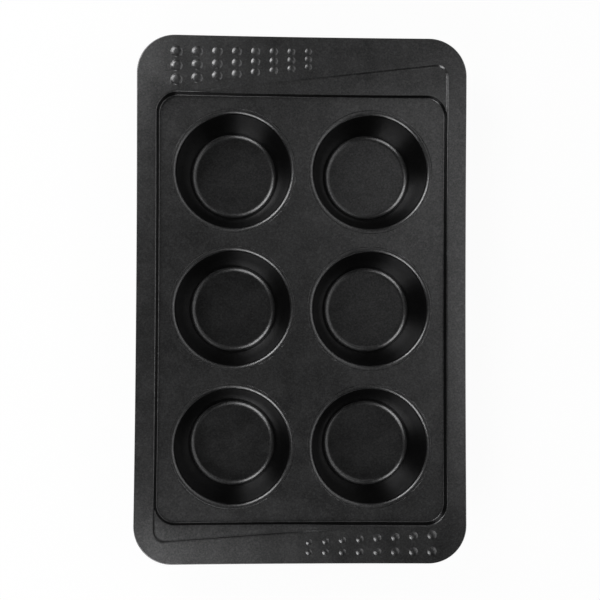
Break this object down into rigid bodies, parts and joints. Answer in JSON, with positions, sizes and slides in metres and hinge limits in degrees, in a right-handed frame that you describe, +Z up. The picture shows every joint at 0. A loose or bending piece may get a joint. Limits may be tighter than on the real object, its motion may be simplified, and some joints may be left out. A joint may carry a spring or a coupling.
{
  "type": "muffin pan",
  "caption": "Dark coated steel muffin pan: a pressed tray with a rolled rim, raised grip bumps and a sunken panel, carrying drawn cups with flat floors.",
  "frame": {"origin": "on the surface that the pan stands on, under the middle of its outline", "axes": "+Z up, +Y along the pan towards its wide grip, +X across the pan to the right of someone at the narrow grip"},
  "size_m": [0.1954, 0.311, 0.0325],
  "materials": {
    "coated_tray": "satin non-stick coating with a fine metallic grain",
    "coated_cup": "satin non-stick coating with a fine metallic grain",
    "wire_steel": "drawn wire"
  },
  "bodies": {
    "root": {"tray": "coated_tray", "rim_wire": "wire_steel", "cup_back_left": "coated_cup", "cup_back_right": "coated_cup", "cup_middle_left": "coated_cup", "cup_middle_right": "coated_cup", "cup_front_left": "coated_cup", "cup_front_right": "coated_cup"}
  },
  "joints": []
}
